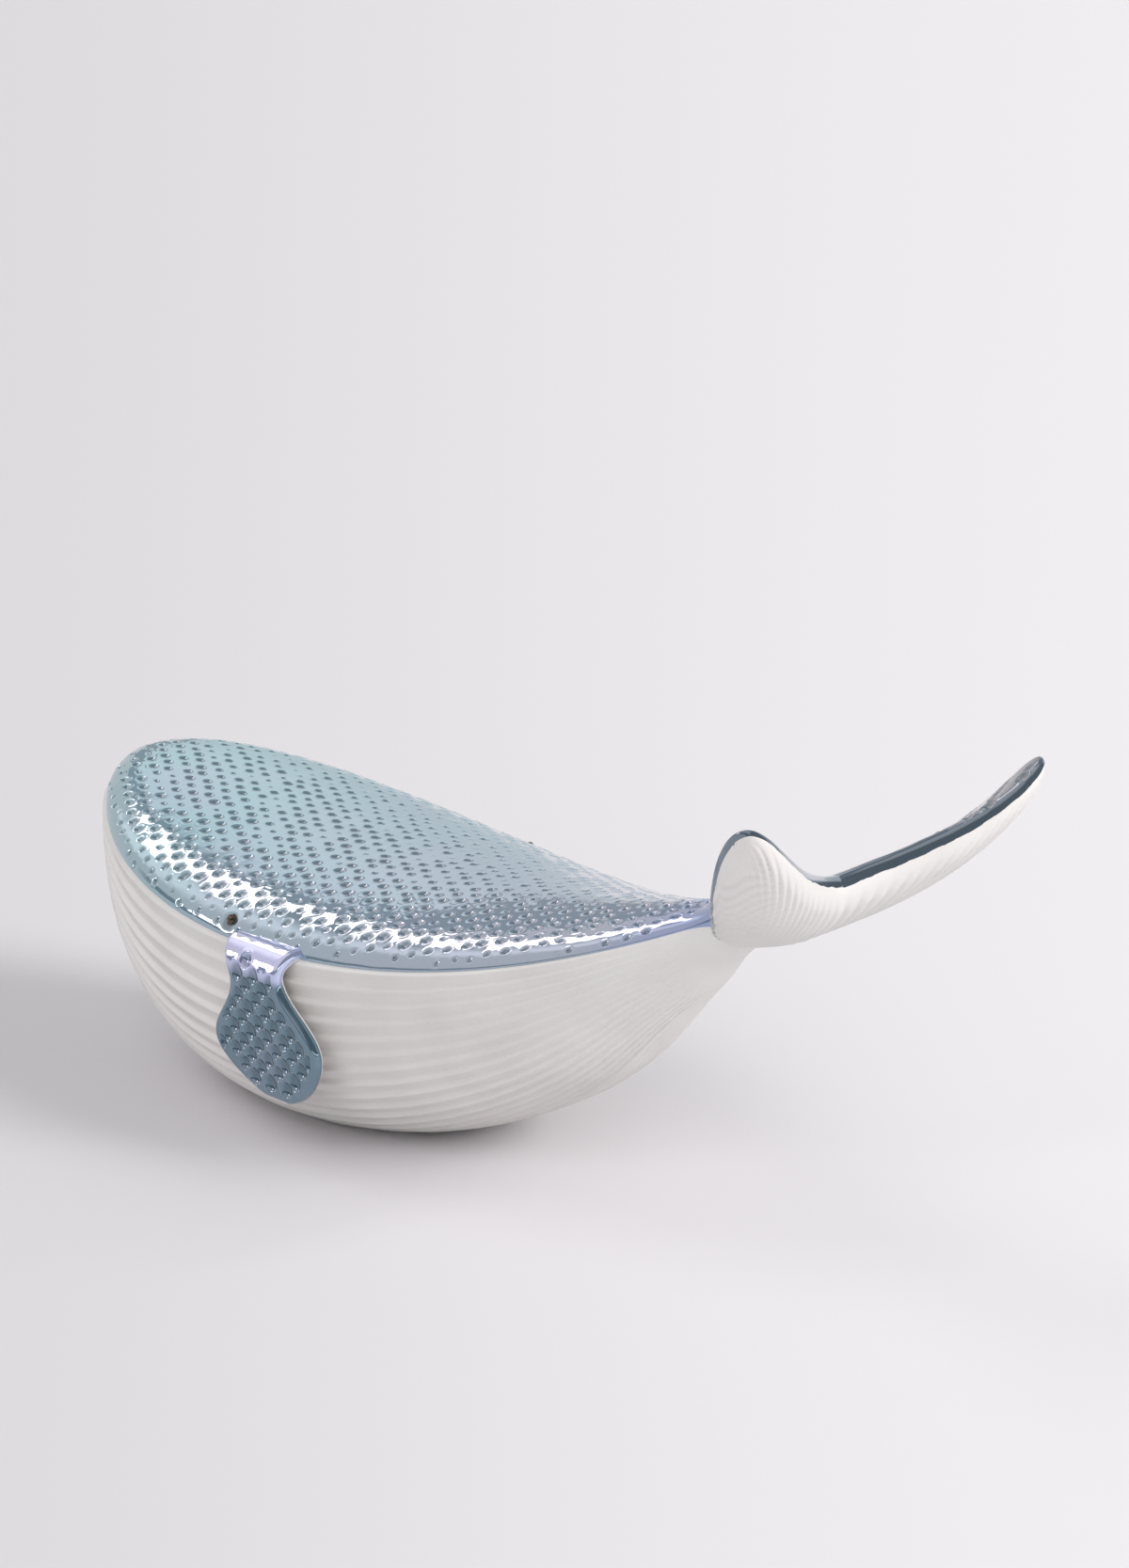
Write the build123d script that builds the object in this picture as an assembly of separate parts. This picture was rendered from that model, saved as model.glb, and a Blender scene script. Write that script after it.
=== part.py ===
"""A slip-cast porcelain whale: a dimpled glazed back luted onto a pleated biscuit belly.

The whale lies along X with its snout at -X, its tail at +X and its port flank at -Y.
The origin is the middle of the flat foot that it rests on, and +Z is up. Sizes are millimetres.
"""

import os
from math import cos, exp, hypot, pi, radians, sin

from build123d import *

# Body: lengths and swellings, each one free to change by itself
BODY_LENGTH = 318.0         # snout to the end of the tail stock
BODY_HALF_WIDTH = 67.8      # rim to the middle plane at the widest station
CROWN_HEIGHT = 19.2         # back above the rim
KEEL_DEPTH = 76.4           # belly below the rim
STOCK_HALF_WIDTH = 5.5      # tail stock at its end
STOCK_CROWN = 4.9
STOCK_KEEL = 7.8
WALL_SNOUT = 16.0           # the cast wall is heaviest in the head, so the weight stays over the foot
WALL_TAIL = 3.5
CAVITY_FRONT = 0.045        # stations where the hollow begins and ends
CAVITY_REAR = 0.90

# Body: how blunt each swelling is towards the snout and how drawn out towards the tail
WIDTH_FRONT, WIDTH_REAR = 0.50, 0.71
CROWN_FRONT, CROWN_REAR = 0.52, 1.40
KEEL_FRONT, KEEL_REAR = 0.33, 0.69
BACK_FULLNESS = 2.44        # 2 is an ellipse, more is squarer
BELLY_FULLNESS = 2.56

# Rim, the line where glazed back and biscuit belly meet: it sags between snout and tail
RIM_LOW_STATION = 0.50
RIM_SNOUT_RISE = 26.6
RIM_TAIL_RISE = 37.3
RIM_SNOUT_POWER = 2.47

# Belly pleats, foot and vent
PLEATS = 34                 # across the belly from rim to rim, an even number
PLEAT_DEPTH = 0.7
PLEAT_LEDGE = 0.22          # share of each pleat taken by the narrow ledge along its upper edge
PLEAT_FADE_START = 0.70     # pleats die away between these two stations
PLEAT_FADE_END = 0.94
FOOT_CUT = 3.0              # how much of the rounded keel the flat foot takes off
VENT_DIAMETER = 5.0         # firing vent through the foot

# Tail fluke
FLUKE_PITCH = 26.3          # degrees that the fluke rises towards its trailing edge
FLUKE_CHORD = 51.0          # at the middle plane
FLUKE_HALF_SPAN = 65.4
FLUKE_SWEEP = 55.4          # tips behind the middle of the root chord
FLUKE_CURL = 18.7           # tips above the plane of the root
FLUKE_CAMBER = 4.3
FLUKE_TWIST = 0.25
FLUKE_THICKNESS = 15.0
FLUKE_TIP_THINNING = 0.25
FLUKE_OVERLAP = 2.7         # how far the leading edge reaches over the end of the stock
FLUKE_RISE = 33.3           # leading edge above the lowest point of the rim
NECK_LENGTH = 15.0          # tapering neck that carries the fluke on the stock
NECK_RISE = 6.0
NECK_SCALE = 0.6

# Pectoral fins
FIN_STATION = 0.484         # middle of the fin's root along the body
FIN_ROOT_HALF = 17.0
FIN_NECK_HALF = 13.5
FIN_NECK_TRAIL = 2.0        # the neck, the blade and the tip each lie a little further aft
FIN_BLADE_HALF = 28.0
FIN_BLADE_TRAIL = 5.0
FIN_TIP_TRAIL = 17.0
FIN_DROP = 54.0             # top of the fin's shoulder to its tip
FIN_THICKNESS = 4.6
FIN_STAND_OFF = 9.0         # outer face of the hanging blade from the flank
FIN_SHOULDER_RISE = 4.0     # top of the shoulder above the lowest point of the rim
FIN_BEND = 7.0              # radius of the shoulder, along the middle of the plate
FIN_LEAN = 6.0              # how far the tip hangs in towards the belly

# Eyes: oval beads pressed into sockets in the back
EYE_STATION = 0.42
EYE_RISE = 5.3              # above the lowest point of the rim
EYE_LENGTH = 3.6
EYE_HEIGHT = 5.2
EYE_PROUD = 0.8
EYE_BEVEL = 0.5
EYE_SOCKET = 2.2
EYE_CLEARANCE = 0.05


def swell(station, peak, front, rear):
    """A swelling that is zero at both ends of the body and reaches its peak once between them."""
    crest = front / (front + rear)
    return peak * (station / crest) ** front * ((1 - station) / (1 - crest)) ** rear


def half_width(station):
    return swell(station, BODY_HALF_WIDTH, WIDTH_FRONT, WIDTH_REAR) + STOCK_HALF_WIDTH * station ** 2


def crown(station):
    return swell(station, CROWN_HEIGHT, CROWN_FRONT, CROWN_REAR) + STOCK_CROWN * station ** 4


def keel(station):
    return swell(station, KEEL_DEPTH, KEEL_FRONT, KEEL_REAR) + STOCK_KEEL * station ** 2


def rim(station):
    """Height of the rim above its own lowest point."""
    if station < RIM_LOW_STATION:
        return RIM_SNOUT_RISE * (1 - station / RIM_LOW_STATION) ** RIM_SNOUT_POWER
    return RIM_TAIL_RISE * ((station - RIM_LOW_STATION) / (1 - RIM_LOW_STATION)) ** 2


def keel_line(station):
    """Height of the rounded keel above the rim's lowest point, before the foot is cut."""
    return rim(station) - keel(station)


def foot_stations():
    """The two stations where the resting plane leaves the keel."""
    steps = 2000
    rows = [i / steps for i in range(1, steps)]
    resting = min(keel_line(s) for s in rows) + FOOT_CUT
    inside = [s for s in rows if keel_line(s) < resting]
    return inside[0], inside[-1], resting


FOOT_FRONT, FOOT_REAR, RESTING = foot_stations()
FOOT_X = BODY_LENGTH * (FOOT_FRONT + FOOT_REAR) / 2
LOW_RIM = -RESTING                  # lowest point of the rim above the resting plane
REACH = 3 * BODY_HALF_WIDTH         # larger than anything across the whale
SEAM_LAP = 1.5                      # both halves are lofted past the rim and parted there


def along(station):
    return BODY_LENGTH * station - FOOT_X


def oval(station, angle, height, fullness, inset=0.0):
    """A point of the body's cross-section: angle 0 is the port rim, 180 degrees the starboard rim."""
    wide = max(half_width(station) - inset, 0.3)
    tall = max(abs(height) - inset, 0.3)
    side = cos(angle)
    y = -wide * abs(side) ** (2 / fullness) * (1 if side > 0 else -1)
    rise = tall * abs(sin(angle)) ** (2 / fullness)
    z = LOW_RIM + rim(station) + (rise if height > 0 else -rise)
    return Vector(along(station), y, z)


def equal_girth(station, parts):
    """Angles that divide the belly's girth at a station into equal parts."""
    steps = 360
    points = [oval(station, pi * i / steps, -keel(station), BELLY_FULLNESS) for i in range(steps + 1)]
    run = [0.0]
    for a, b in zip(points, points[1:]):
        run.append(run[-1] + hypot(b.Y - a.Y, b.Z - a.Z))
    angles = []
    for part in range(parts + 1):
        goal = run[-1] * part / parts
        i = max(1, next(k for k, length in enumerate(run) if length >= goal - 1e-9))
        angles.append(pi * (i - 1 + (goal - run[i - 1]) / (run[i] - run[i - 1])) / steps)
    return angles


def pleat_depth(station):
    """Full depth over most of the belly, dying away at the snout and on the tail stock."""
    fade = (PLEAT_FADE_END - station) / (PLEAT_FADE_END - PLEAT_FADE_START)
    return PLEAT_DEPTH * (1 - exp(-station / 0.04)) * min(1.0, max(0.0, fade))


def wall(station):
    return WALL_TAIL + (WALL_SNOUT - WALL_TAIL) * (1 - station) ** 2


def belly_section(station):
    """Pleats like lapped boards: a narrow ledge steps out, then a broad face falls back to the next one."""
    depth = pleat_depth(station)
    fall = -keel(station)
    grooves = equal_girth(station, PLEATS)
    points = []
    for i, (a, b) in enumerate(zip(grooves, grooves[1:])):
        ledge = PLEAT_LEDGE if i < PLEATS / 2 else 1 - PLEAT_LEDGE
        points.append(oval(station, a, fall, BELLY_FULLNESS, depth))
        points.append(oval(station, a + (b - a) * ledge, fall, BELLY_FULLNESS))
    points.append(oval(station, grooves[-1], fall, BELLY_FULLNESS, depth))
    for end in (0, -1):
        points[end] += Vector(0, 0, SEAM_LAP)
    return make_face(Polyline(*points, close=True))


def arcs(points):
    """Arcs through every three points, each starting where the last one ends."""
    return [ThreePointArc(*points[i:i + 3]) for i in range(0, len(points) - 2, 2)]


def back_section(station):
    """The crown as a chain of arcs whose ends run straight on a little below the rim."""
    steps = 12
    curve = [oval(station, pi * i / steps, crown(station), BACK_FULLNESS) for i in range(steps + 1)]
    down = Vector(0, 0, -SEAM_LAP)
    skirt = Polyline(curve[-1], curve[-1] + down, curve[0] + down, curve[0])
    return make_face([*arcs(curve), skirt])


def cavity_section(station):
    """The hollow left by the cast wall: a smooth oval inside both shells."""
    steps = 8
    inset = wall(station)
    angles = [pi * (i + 0.5) / steps for i in range(steps)]
    over = [oval(station, a, crown(station), BACK_FULLNESS, inset) for a in angles]
    under = [oval(station, a, -keel(station), BELLY_FULLNESS, inset) for a in reversed(angles)]
    return make_face(Polyline(*over, *under, close=True))


def spread(first, last, count):
    """Stations between two others, closer together towards both ends."""
    return [first + (last - first) * (1 - cos(pi * i / count)) / 2 for i in range(count + 1)]


def under_rim():
    """Everything below the rim line, as one block right across the whale."""
    rows = 20
    line = [Vector(along(i / rows), 0, LOW_RIM + rim(i / rows)) for i in range(rows + 1)]
    front = line[0] - Vector(REACH, 0, 0)
    rear = line[-1] + Vector(REACH, 0, 0)
    floor = Vector(0, 0, -REACH)
    outline = [Spline(*line), Polyline(line[-1], rear, rear + floor, front + floor, front, line[0])]
    return extrude(make_face(outline), amount=REACH, dir=(0, 1, 0), both=True)


def fluke_point(span, angle):
    """A point of the fluke's lens section: span runs -1 to 1 across, angle once round the section."""
    out = abs(span)
    taper = (1 - out ** 3.1) ** 0.39
    half = FLUKE_CHORD / 2 * taper
    fore_aft = cos(angle)
    thick = FLUKE_THICKNESS / 2 * (1 - FLUKE_TIP_THINNING * out ** 1.2) * taper ** 0.5
    chordwise = FLUKE_CHORD / 2 + FLUKE_SWEEP * out ** 1.34 + half * fore_aft
    lift = FLUKE_CURL * out ** 3.9 - FLUKE_CAMBER * taper * sin(angle) ** 2
    lift += FLUKE_TWIST * out * half * fore_aft + thick * sin(angle)
    pitch = radians(FLUKE_PITCH)
    x = along(1) - FLUKE_OVERLAP + chordwise * cos(pitch) - lift * sin(pitch)
    z = LOW_RIM + FLUKE_RISE + chordwise * sin(pitch) + lift * cos(pitch)
    return Vector(x, FLUKE_HALF_SPAN * span, z)


def fluke_section(span):
    steps = 16
    return make_face(arcs([fluke_point(span, 2 * pi * i / steps) for i in range(steps + 1)]))


def stock_section(forward, rise, scale):
    """The stock's end oval, moved along X and Z and scaled about its own rim."""
    steps = 8
    hub = Vector(along(1), 0, LOW_RIM + rim(1))
    over = [oval(1, pi * i / steps, crown(1), BACK_FULLNESS) for i in range(steps + 1)]
    under = [oval(1, pi * i / steps, -keel(1), BELLY_FULLNESS) for i in range(steps + 1)]
    shift = hub + Vector(forward, 0, rise)
    ring = over + under[-2::-1]
    return make_face(arcs([shift + (p - hub) * scale for p in ring]))


def fin_plate():
    """A plate that leaves the starboard flank, bends over at the shoulder and hangs down."""
    half = FIN_THICKNESS / 2
    flank = half_width(FIN_STATION)
    top = LOW_RIM + FIN_SHOULDER_RISE - half
    outer = flank + FIN_STAND_OFF - half
    low = top - FIN_DROP - FIN_THICKNESS
    x = along(FIN_STATION)
    path = FilletPolyline((x, flank / 2, top), (x, outer, top), (x, outer - FIN_LEAN, low), radius=FIN_BEND)
    start = Plane(origin=path @ 0, x_dir=(1, 0, 0), z_dir=(0, 1, 0))
    return sweep(start * Rectangle(4 * FIN_BLADE_HALF, FIN_THICKNESS), path)


def fin_leaf():
    """The fin's outline seen from the side, cut right across the plate."""
    x = along(FIN_STATION)
    top = LOW_RIM + FIN_SHOULDER_RISE
    neck = x + FIN_NECK_TRAIL
    blade = x + FIN_BLADE_TRAIL
    fore = Vector(x - FIN_ROOT_HALF, 0, top - 0.05 * FIN_DROP)
    aft = Vector(x + FIN_ROOT_HALF, 0, top - 0.05 * FIN_DROP)
    leaf = [
        aft,
        Vector(neck + FIN_NECK_HALF, 0, top - 0.19 * FIN_DROP),
        Vector(blade + FIN_BLADE_HALF, 0, top - 0.60 * FIN_DROP),
        Vector(x + FIN_TIP_TRAIL + 0.32 * FIN_BLADE_HALF, 0, top - 0.90 * FIN_DROP),
        Vector(x + FIN_TIP_TRAIL, 0, top - FIN_DROP),
        Vector(blade - 0.32 * FIN_BLADE_HALF, 0, top - 0.955 * FIN_DROP),
        Vector(blade - FIN_BLADE_HALF, 0, top - 0.68 * FIN_DROP),
        Vector(neck - FIN_NECK_HALF, 0, top - 0.29 * FIN_DROP),
        fore]
    over = Vector(0, 0, FIN_DROP / 2)
    outline = make_face([Spline(*leaf), Polyline(fore, fore + over, aft + over, aft)])
    return extrude(outline, amount=REACH, dir=(0, 1, 0))


def eye(side, grow):
    """An oval bead standing a little proud of the flank: side -1 is port, grow widens it for its socket."""
    centre = Vector(along(EYE_STATION), 0, LOW_RIM + EYE_RISE)
    flank = flank_at(EYE_STATION, centre.Z)
    seat = (centre.X, side * (flank - EYE_SOCKET), centre.Z)
    plane = Plane(origin=seat, x_dir=(1, 0, 0), z_dir=(0, side, 0))
    face = plane * Ellipse(EYE_LENGTH / 2 + grow, EYE_HEIGHT / 2 + grow)
    return extrude(face, amount=EYE_SOCKET + EYE_PROUD)


def flank_at(station, height):
    """Distance of the glazed flank from the middle plane at a height above the rim."""
    rise = (height - LOW_RIM - rim(station)) / crown(station)
    return half_width(station) * (1 - rise ** BACK_FULLNESS) ** (1 / BACK_FULLNESS)


def write(node, shape):
    shape.label = node
    export_step(shape, f"parts/{node}.step")


os.makedirs("parts", exist_ok=True)

below = under_rim()
ground = Pos(0, 0, -REACH / 2) * Box(4 * REACH, 2 * REACH, REACH)
vent = Cylinder(VENT_DIAMETER / 2, 4 * WALL_SNOUT)
stations = spread(0.001, 1.0, 20)
belly_half = (loft([belly_section(s) for s in stations], ruled=True) & below) - ground
back_half = loft([back_section(s) for s in stations], ruled=True) - below
cavity = loft([cavity_section(s) for s in spread(CAVITY_FRONT, CAVITY_REAR, 8)])

fluke = loft([fluke_section(t) for t in spread(-0.999, 0.999, 26)], ruled=True)
neck = loft([stock_section(0, 0, 1), stock_section(NECK_LENGTH, NECK_RISE, NECK_SCALE)])
fin = (fin_plate() & fin_leaf()) - belly_half - back_half

sockets = [eye(side, EYE_CLEARANCE) for side in (-1, 1)]
bead = eye(1, 0)
bead = chamfer(bead.faces().sort_by(Axis.Y)[-1].edges(), EYE_BEVEL)

write("belly_shell", belly_half - cavity - vent)
write("back_shell", back_half - cavity - sockets)
write("tail_fluke", fluke + neck - belly_half - back_half)
write("fin_right", fin)
write("fin_left", mirror(fin, about=Plane.XZ))
write("eye_right", bead)
write("eye_left", mirror(bead, about=Plane.XZ))
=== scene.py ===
import math
from math import pi

import bmesh
import bpy
import numpy as np
from mathutils import Matrix, Vector
from mathutils.bvhtree import BVHTree


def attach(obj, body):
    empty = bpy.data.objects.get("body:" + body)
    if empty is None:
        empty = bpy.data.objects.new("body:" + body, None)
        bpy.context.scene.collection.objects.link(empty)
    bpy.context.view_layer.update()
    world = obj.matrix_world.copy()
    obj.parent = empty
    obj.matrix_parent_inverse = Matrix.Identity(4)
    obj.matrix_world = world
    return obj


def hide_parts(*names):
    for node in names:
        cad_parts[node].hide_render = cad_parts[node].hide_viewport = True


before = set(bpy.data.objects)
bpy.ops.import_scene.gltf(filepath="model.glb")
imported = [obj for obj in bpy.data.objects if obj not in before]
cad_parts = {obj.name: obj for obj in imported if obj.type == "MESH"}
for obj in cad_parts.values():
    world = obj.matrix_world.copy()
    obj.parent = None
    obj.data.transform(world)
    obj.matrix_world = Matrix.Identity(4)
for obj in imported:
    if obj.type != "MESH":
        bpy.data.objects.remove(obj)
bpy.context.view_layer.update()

# Belly: the lower half of the slip-cast body, unglazed white biscuit porcelain from the rim down.
# Long pleats run from snout to tail like clapboards, each with a thin ledge along its upper edge.
# The body stands on a small flat ground on the keel, with the firing vent in its middle.

MM = 0.001
BODY_LENGTH = 318.0
FOOT_X = 125.4
LOW_RIM = 73.2
RIM_LOW_STATION = 0.486
BELLY_STATIONS = 230
PLEATS_A_SIDE = 17
PLEAT_DEPTH = 1.75
PLEAT_STEPS = (0.0, 0.05, 0.11, 0.18, 0.30, 0.44, 0.58, 0.72, 0.86)
PLEAT_LEDGE = 0.18
VENT_RADIUS = 2.5
VENT_DEPTH = 12.0


def swell(s, peak, front, rear):
    """A swelling that is zero at both ends of the body and reaches its peak once between them."""
    crest = front / (front + rear)
    return peak * (s / crest) ** front * ((1 - s) / (1 - crest)) ** rear


def half_width(s):
    return swell(s, 69.4, 0.56, 0.866) + 4.9 * s ** 2


def crown(s):
    return swell(s, 19.8, 0.61, 0.81) + 3.8 * s ** 4


def keel(s):
    return swell(s, 78.6, 0.346, 0.767) + 8.7 * s ** 2 - 4.0 * np.exp(-((s - 0.89) / 0.06) ** 2)


def rim(s):
    """Height of the rim above its own lowest point."""
    head = 28.9 * np.maximum(1 - s / RIM_LOW_STATION, 0) ** 2.07
    tail = 37.3 * (np.maximum(s - RIM_LOW_STATION, 0) / (1 - RIM_LOW_STATION)) ** 2.15
    return np.where(s < RIM_LOW_STATION, head, tail)


def belly_fullness(s):
    """Power of the lower section's oval: boxy by the head, rounder at the stock."""
    return 2.545 - 0.43 * s


def back_fullness(s):
    return 2.40 - 0.865 * s


def along(s):
    return BODY_LENGTH * s - FOOT_X


def half_oval(s, height, fullness, shares):
    """Points of the body's upper or lower section at station s, at equal-girth shares from the port rim."""
    turn = np.linspace(0, pi, 721)
    swing = np.cos(turn)
    y = -half_width(s) * np.sign(swing) * np.abs(swing) ** (2 / fullness)
    z = LOW_RIM + rim(s) + height * np.abs(np.sin(turn)) ** (2 / fullness)
    run = np.concatenate([[0], np.cumsum(np.hypot(np.diff(y), np.diff(z)))])
    at = shares * run[-1]
    x = np.full(len(at), along(s))
    return np.stack([x, np.interp(at, run, y), np.interp(at, run, z)], -1), run[-1]


def grid_faces(rows, columns, joined=False):
    """Quads between the points of a grid, row by row; joined also links each row's end to its start."""
    quads = []
    for i in range(rows - 1):
        for j in range(columns if joined else columns - 1):
            k = (j + 1) % columns
            quads.append((i * columns + j, i * columns + k, (i + 1) * columns + k, (i + 1) * columns + j))
    return quads


def fan(row, tip):
    """Triangles from a closed or open row of points to one tip."""
    return [(row[i], row[i + 1], tip) for i in range(len(row) - 1)]


def make_piece(name, points, faces, attributes):
    """A closed mesh object from points in millimetres, normals outwards, smooth but for true edges."""
    mesh = bpy.data.meshes.new(name)
    mesh.from_pydata((np.asarray(points) * MM).tolist(), [], faces)
    for key, values in attributes.items():
        mesh.attributes.new(key, "FLOAT", "POINT").data.foreach_set("value", np.asarray(values, np.float32))
    build = bmesh.new()
    build.from_mesh(mesh)
    bmesh.ops.recalc_face_normals(build, faces=build.faces)
    build.to_mesh(mesh)
    build.free()
    mesh.shade_smooth()
    mesh.set_sharp_from_angle(angle=math.radians(52))
    piece = bpy.data.objects.new(name, mesh)
    bpy.context.scene.collection.objects.link(piece)
    return piece


class Wire:
    """One socket of a node tree, so that node maths reads as plain arithmetic."""

    def __init__(self, tree, socket):
        self.tree = tree
        self.socket = socket

    def maths(self, operation, *values):
        return add(self.tree, "ShaderNodeMath", {"operation": operation}, dict(enumerate(values)))

    def __add__(self, other):
        return self.maths("ADD", self, other)

    def __sub__(self, other):
        return self.maths("SUBTRACT", self, other)

    def __rsub__(self, other):
        return self.maths("SUBTRACT", other, self)

    def __mul__(self, other):
        return self.maths("MULTIPLY", self, other)

    def __truediv__(self, other):
        return self.maths("DIVIDE", self, other)

    def __pow__(self, other):
        return self.maths("POWER", self, other)

    def __abs__(self):
        return self.maths("ABSOLUTE", self)

    __radd__ = __add__
    __rmul__ = __mul__

    def least(self, other):
        return self.maths("MINIMUM", self, other)

    def most(self, other):
        return self.maths("MAXIMUM", self, other)

    def ease(self, low, high, start=0.0, end=1.0):
        """A smooth step from start at low to end at high."""
        sockets = {"Value": self, "From Min": low, "From Max": high, "To Min": start, "To Max": end}
        return add(self.tree, "ShaderNodeMapRange", {"interpolation_type": "SMOOTHSTEP"}, sockets)


def add(tree, kind, settings, sockets, output=0):
    """A node of any kind: its settings first, then the values or links of its sockets."""
    node = tree.nodes.new(kind)
    for key, value in settings.items():
        if key == "stops":
            ramp = node.color_ramp.elements
            while len(ramp) < len(value):
                ramp.new(0.5)
            for stop, (position, colour) in zip(ramp, value):
                stop.position = position
                stop.color = (*colour, 1)
        else:
            setattr(node, key, value)
    for key, value in sockets.items():
        if isinstance(value, Wire):
            tree.links.new(value.socket, node.inputs[key])
        else:
            node.inputs[key].default_value = value
    return Wire(tree, node.outputs[output])


def shaping(name, inputs):
    """A Geometry Nodes tree with named inputs; gives the tree, its geometry and its input wires."""
    tree = bpy.data.node_groups.new(name, "GeometryNodeTree")
    tree.interface.new_socket("Geometry", in_out="INPUT", socket_type="NodeSocketGeometry")
    tree.interface.new_socket("Geometry", in_out="OUTPUT", socket_type="NodeSocketGeometry")
    for key, kind in inputs.items():
        tree.interface.new_socket(key, in_out="INPUT", socket_type=kind)
    entry = tree.nodes.new("NodeGroupInput")
    wires = {socket.name: Wire(tree, socket) for socket in entry.outputs if socket.name}
    return tree, wires


def shaped(tree, geometry, material):
    """Ends a tree: instances made real, the material set, the result sent out."""
    real = add(tree, "GeometryNodeRealizeInstances", {}, {"Geometry": geometry})
    dressed = add(tree, "GeometryNodeSetMaterial", {}, {"Geometry": real, "Material": material})
    leave = tree.nodes.new("NodeGroupOutput")
    tree.links.new(dressed.socket, leave.inputs[0])


def shape_piece(piece, tree, values):
    """Runs a tree on a piece with these input values and keeps the result as its plain mesh."""
    work = piece.modifiers.new(tree.name, "NODES")
    work.node_group = tree
    for item in tree.interface.items_tree:
        if item.in_out == "INPUT" and item.name in values:
            work[item.identifier] = values[item.name]
    keep_modified(piece)


def keep_modified(piece):
    """Turns a piece's evaluated modifiers into its plain mesh and removes them."""
    graph = bpy.context.evaluated_depsgraph_get()
    graph.update()
    mesh = bpy.data.meshes.new_from_object(piece.evaluated_get(graph), preserve_all_data_layers=True, depsgraph=graph)
    old = piece.data
    piece.modifiers.clear()
    piece.data = mesh
    mesh.name = piece.name
    bpy.data.meshes.remove(old)


def new_material(name):
    """An empty node material with its output; gives the material, its tree and the output's input."""
    material = bpy.data.materials.new(name)
    material.use_nodes = True
    tree = material.node_tree
    tree.nodes.clear()
    return material, tree


def set_surface(tree, shader):
    leave = tree.nodes.new("ShaderNodeOutputMaterial")
    tree.links.new(shader.socket, leave.inputs["Surface"])


def mix_colours(tree, factor, first, second):
    """Blends two colours, each a wire or three numbers."""
    sides = [side if isinstance(side, Wire) else (*side, 1) for side in (first, second)]
    settings = {"data_type": "RGBA", "clamp_factor": True}
    return add(tree, "ShaderNodeMix", settings, {0: factor, 6: sides[0], 7: sides[1]}, 2)


BISCUIT_WHITE = (0.79, 0.772, 0.755)
BISCUIT_SHADE = (0.70, 0.678, 0.655)


def biscuit_shader(tree):
    """Unglazed porcelain: matt, faintly mottled, with the fine grain left by the mould."""
    spot = add(tree, "ShaderNodeTexCoord", {}, {}, "Object")
    cloud = add(tree, "ShaderNodeTexNoise", {}, {"Vector": spot, "Scale": 38.0, "Detail": 4.0})
    speck = add(tree, "ShaderNodeTexNoise", {}, {"Vector": spot, "Scale": 900.0, "Detail": 3.0})
    grain = add(tree, "ShaderNodeTexNoise", {}, {"Vector": spot, "Scale": 2600.0, "Detail": 2.0})
    worn = cloud.ease(0.35, 0.75) * 0.5 + speck.ease(0.55, 0.8) * 0.35
    colour = mix_colours(tree, worn, BISCUIT_WHITE, BISCUIT_SHADE)
    height = grain * 0.6 + speck * 0.4
    relief = add(tree, "ShaderNodeBump", {}, {"Strength": 0.22, "Distance": 0.00012, "Height": height})
    rough = 0.52 + cloud * 0.16
    sockets = {"Base Color": colour, "Roughness": rough, "Normal": relief, "Specular IOR Level": 0.32}
    return add(tree, "ShaderNodeBsdfPrincipled", {}, sockets)


biscuit, biscuit_tree = new_material("biscuit_porcelain")
set_surface(biscuit_tree, biscuit_shader(biscuit_tree))

half_shares = np.array([(i + f) / PLEATS_A_SIDE for i in range(PLEATS_A_SIDE) for f in PLEAT_STEPS]) / 2
belly_shares = np.concatenate([half_shares, [0.5], 1 - half_shares[::-1]])
belly_rows = (0.5 - 0.5 * np.cos(pi * np.linspace(0, 1, BELLY_STATIONS + 1)[1:])) ** 1.3
belly_sections = [half_oval(s, -keel(s), belly_fullness(s), belly_shares)[0] for s in belly_rows]
belly_columns = len(belly_shares)
belly_last = BELLY_STATIONS * belly_columns - belly_columns
snout = np.array([[along(0), 0, LOW_RIM + rim(np.array(0.0))]])
stock_end = np.array([[along(1), 0, LOW_RIM + rim(np.array(1.0))]])
belly_points = np.concatenate([*belly_sections, snout, stock_end])
belly_faces = grid_faces(BELLY_STATIONS, belly_columns)
belly_faces += fan(range(belly_columns), len(belly_points) - 2)
belly_faces += fan(range(belly_last, belly_last + belly_columns), len(belly_points) - 1)
port_edge = [i * belly_columns for i in range(BELLY_STATIONS)]
star_edge = [i * belly_columns + belly_columns - 1 for i in range(BELLY_STATIONS)]
belly_faces += [(a, b, d, c) for a, b, c, d in zip(port_edge, port_edge[1:], star_edge, star_edge[1:])]
belly_faces += [(port_edge[0], star_edge[0], len(belly_points) - 2)]
belly_faces += [(port_edge[-1], star_edge[-1], len(belly_points) - 1)]

pleat_way = np.minimum(belly_shares, 1 - belly_shares) * 2 * PLEATS_A_SIDE
pleat_fade = (1 - np.exp(-belly_rows / 0.04)) * np.clip((0.96 - belly_rows) / 0.2, 0, 1)
pleat_ways = np.concatenate([np.tile(pleat_way, BELLY_STATIONS), [0, 0]])
pleat_fades = np.concatenate([np.repeat(pleat_fade, belly_columns), [0, 0]])
belly = make_piece("belly_biscuit", belly_points, belly_faces, {"pleat_way": pleat_ways, "pleat_fade": pleat_fades})

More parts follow.
